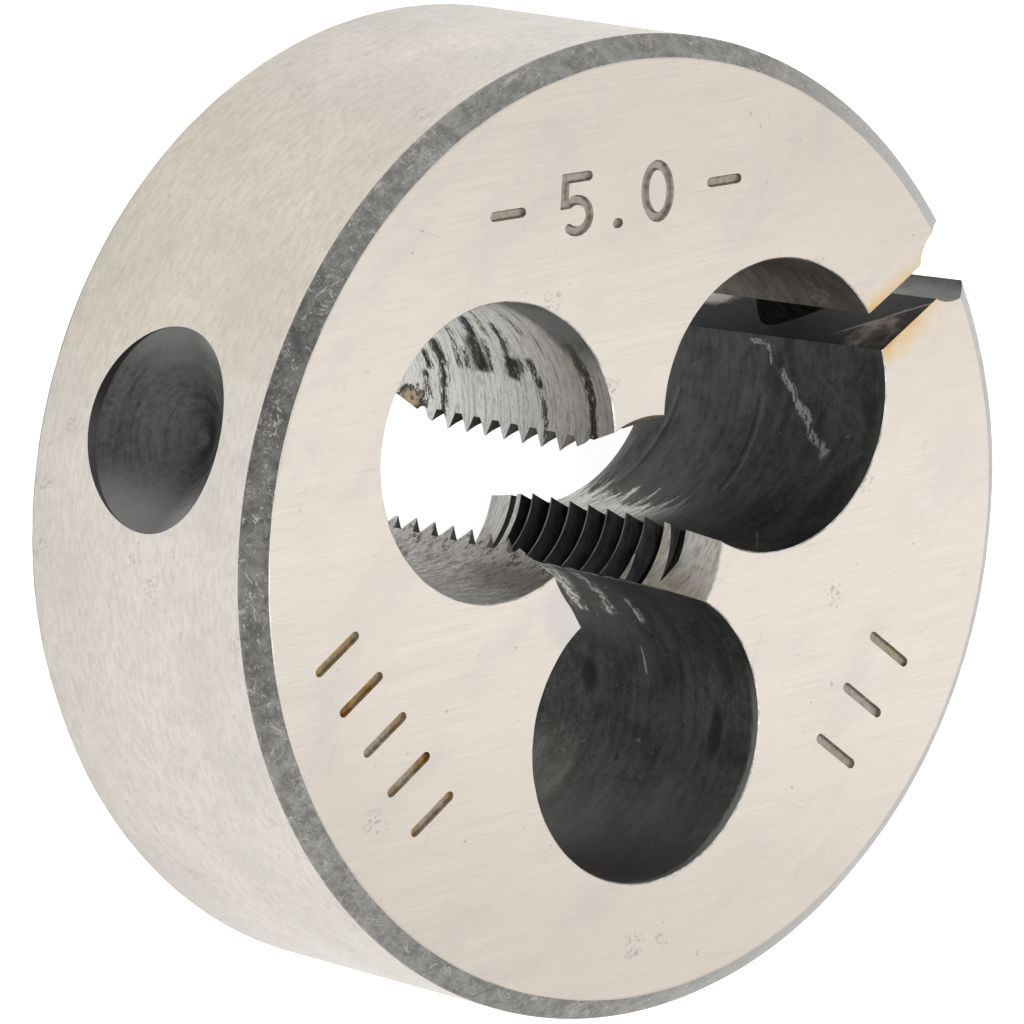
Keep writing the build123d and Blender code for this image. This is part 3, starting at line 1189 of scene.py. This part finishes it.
shader, position = start_material("screw_cone", 0.0, 0.6)
shader.inputs["Specular IOR Level"].default_value = 0.0
mottle = marks(position, (3.0, 3.0, 3.0), 4.0, 0.7)
# Black oxide, painted darker still as painted shade for the deep cone.
colour = two_tone(mottle, (0.005, 0.005, 0.005), (0.018, 0.018, 0.018))
finish_material(shader, colour, fade(mottle, 0.3, 0.7, 0.45, 0.6), mottle, 0.005)

# %% [markdown]
# ## Dimple
# The drill leaves faint rings round its own axis.
# The position is turned until that axis is X, and the distance from it drives the rings.
# Its upper part and the low part of its straight wall are painted lighter, and its point darker, as painted
# light and shade.

# %% Material: drilled dimple
shader, position = start_material("drilled_dimple")
x, y, z = split(turned(position, -dimple_direction))
below = z - dimple_height
off_axis = length(join(y, below))
rings = marks(join(y, below, off_axis), (0.35, 0.35, 4.0), 4.0, 0.7)
grit = marks(position, (5.0, 5.0, 5.0), 4.0, 0.75)
tone = rings * 0.6 + grit * 0.4
nicks = use_group(group_nicks, Vector=position, Amount=0.2)
to_the_side = fade(abs(y + 0.2), 0.9, 2.5)
final = two_tone(tone, (0.036, 0.037, 0.037), (0.085, 0.085, 0.085), 0.36, 0.64)
final = over(to_the_side, 0.55, (0.23, 0.228, 0.223), final)
final = toned(fade(below, -1.0, -2.5), (1.08, 1.06, 1.03), final)
# Painted light: the upper part of the dimple is painted much lighter than the rest.
final = toned(fade(below, 0.3, 1.3), (1.8, 1.79, 1.76), final)
# Painted shade: the drill's point, the deepest spot of the dimple, is painted darker.
final = over(fade(off_axis, 1.2, 0.3), 0.4, (0.03, 0.03, 0.032), final)
# Painted light: the low part of the straight wall is painted lighter, and one side of it lighter still.
on_wall = fade(x, dimple_floor - 0.005, dimple_floor + 0.005)
straight_wall = on_wall * fade(below, 0.0, -1.0)
final = over(straight_wall, 0.9, (0.15, 0.15, 0.147), final)
straight_wall = straight_wall * fade(y, -1.0, 0.8)
final = over(straight_wall, 0.8, (0.42, 0.415, 0.4), final)
final = over(nicks["Nick"], 0.4, (0.34, 0.33, 0.31), final)
finish_material(shader, final, fade(rings, 0.3, 0.7, 0.42, 0.56), grit * 0.5 + rings, 0.008)

# %% [markdown]
# ## Engraved strokes
# The strokes are mid grey at the bottom and keep gold and brown heat colours here and there.

# %% Material: engraved stroke
shader, position = start_material("engraved_stroke", 1.0, 0.5)
rough = marks(position, (6.0, 6.0, 6.0), 4.0, 0.7)
patches = marks(position, (0.8, 0.8, 0.8), 3.0)
grey = two_tone(rough, (0.25, 0.232, 0.22), (0.46, 0.43, 0.405))
side = fade(split(position)[0], 1.0, -7.0, 0.3, 1.0)
heat = fade(patches, 0.35, 0.7, 0.1, 1.0) * side * 0.85
warm = use_group(group_tint, Colour=grey, Heat=heat)["Colour"]
finish_material(shader, warm, fade(rough, 0.3, 0.7, 0.42, 0.6), rough, 0.008)

# %% [markdown]
# ## Floor, light and camera
# The die lies on its back face on a pale floor.
# The camera, and metal that mirrors the room, see the floor and the world as white.
# The floor gets only part of its white from its own glow, so it still takes a shadow.
# It lies a hundredth of a millimetre below the back face, so that the two don't share one plane.

# %% Floor
def seen_directly(tree, in_camera, in_mirrors):
    paths = named(node(tree, "ShaderNodeLightPath").outputs)
    mirrored = larger(paths["Is Glossy Ray"], paths["Is Transmission Ray"])
    return mirrored * in_mirrors + paths["Is Camera Ray"] * in_camera


reach = 3.0
corners = [(-reach, -reach, 0), (reach, -reach, 0), (reach, reach, 0), (-reach, reach, 0)]
floor_mesh = bpy.data.meshes.new("studio_floor")
floor_mesh.from_pydata(corners, [], [(0, 1, 2, 3)])
floor = bpy.data.objects.new("studio_floor", floor_mesh)
bpy.context.scene.collection.objects.link(floor)
floor_material = bpy.data.materials.new("pale_floor")
floor_material.use_nodes = True
tree = floor_material.node_tree
tree.nodes.clear()
shader = node(tree, "ShaderNodeBsdfPrincipled", {"Base Color": (0.86, 0.86, 0.86, 1), "Roughness": 0.9})
glow = node(tree, "ShaderNodeEmission", {"Color": (1, 1, 1, 1), "Strength": seen_directly(tree, 0.8, 0.45)})
both = worked_out("ShaderNodeAddShader", {0: Value(shader.outputs[0]), 1: Value(glow.outputs[0])})
node(tree, "ShaderNodeOutputMaterial", {"Surface": both})
floor_mesh.materials.append(floor_material)
floor.location.z = -0.00001

# %% World
world = bpy.data.worlds.new("soft_studio")
bpy.context.scene.world = world
world.use_nodes = True
tree = world.node_tree
tree.nodes.clear()
sky_direction = Value(node(tree, "ShaderNodeTexCoord").outputs["Generated"])
sky = two_tone(split(sky_direction)[2], (0.78, 0.78, 0.78), (0.92, 0.92, 0.92), 0.0, 0.9)
colour = blend(seen_directly(tree, 1.0, 1.0), sky, (1, 1, 1, 1))
background = worked_out("ShaderNodeBackground", {"Color": colour, "Strength": 1.0})
node(tree, "ShaderNodeOutputWorld", {"Surface": background})

# %% [markdown]
# Two large soft lamps model the shape: one high over the front face and one low beside the rim.

# %% Lamps
def soft_lamp(name, place, target, size, power):
    light = bpy.data.lights.new(name, "AREA")
    light.shape = "DISK"
    light.size = size
    light.energy = power
    lamp = bpy.data.objects.new(name, light)
    lamp.location = place
    lamp.rotation_euler = (Vector(target) - Vector(place)).to_track_quat("-Z", "Y").to_euler()
    bpy.context.scene.collection.objects.link(lamp)


soft_lamp("key_lamp", (0.3, -0.25, 0.3), (0, 0, 0.005), 0.35, 0.12)
soft_lamp("side_lamp", (-0.4, 0.1, 0.2), (0, 0, 0.005), 0.3, 0.45)

# %% [markdown]
# The photographer stood well back with a long lens, so the circles of the die hardly change in size.
# The camera is placed by its direction, its distance and the roll of the picture.

# %% Camera
azimuth = radians(133.387)
elevation = radians(48.952)
roll = radians(101.758)
aim = Vector((-0.0031755, 0.0030954, 0.0094))
distance = 0.210134
toward = Vector((cos(elevation) * cos(azimuth), cos(elevation) * sin(azimuth), sin(elevation)))
level_right = Vector((0, 0, 1)).cross(toward).normalized()
level_up = toward.cross(level_right)
right = level_right * cos(roll) + level_up * sin(roll)
up = level_up * cos(roll) - level_right * sin(roll)
lens = bpy.data.cameras.new("camera")
lens.lens = 293.774
lens.sensor_width = 36
lens.clip_start = 0.01
camera = bpy.data.objects.new("camera", lens)
facing = Matrix((right, up, toward)).transposed().to_4x4()
camera.matrix_world = Matrix.Translation(aim + toward * distance) @ facing
bpy.context.scene.collection.objects.link(camera)
bpy.context.scene.camera = camera
bpy.context.scene.view_settings.view_transform = "Standard"
print("camera at", [round(v, 4) for v in camera.location])
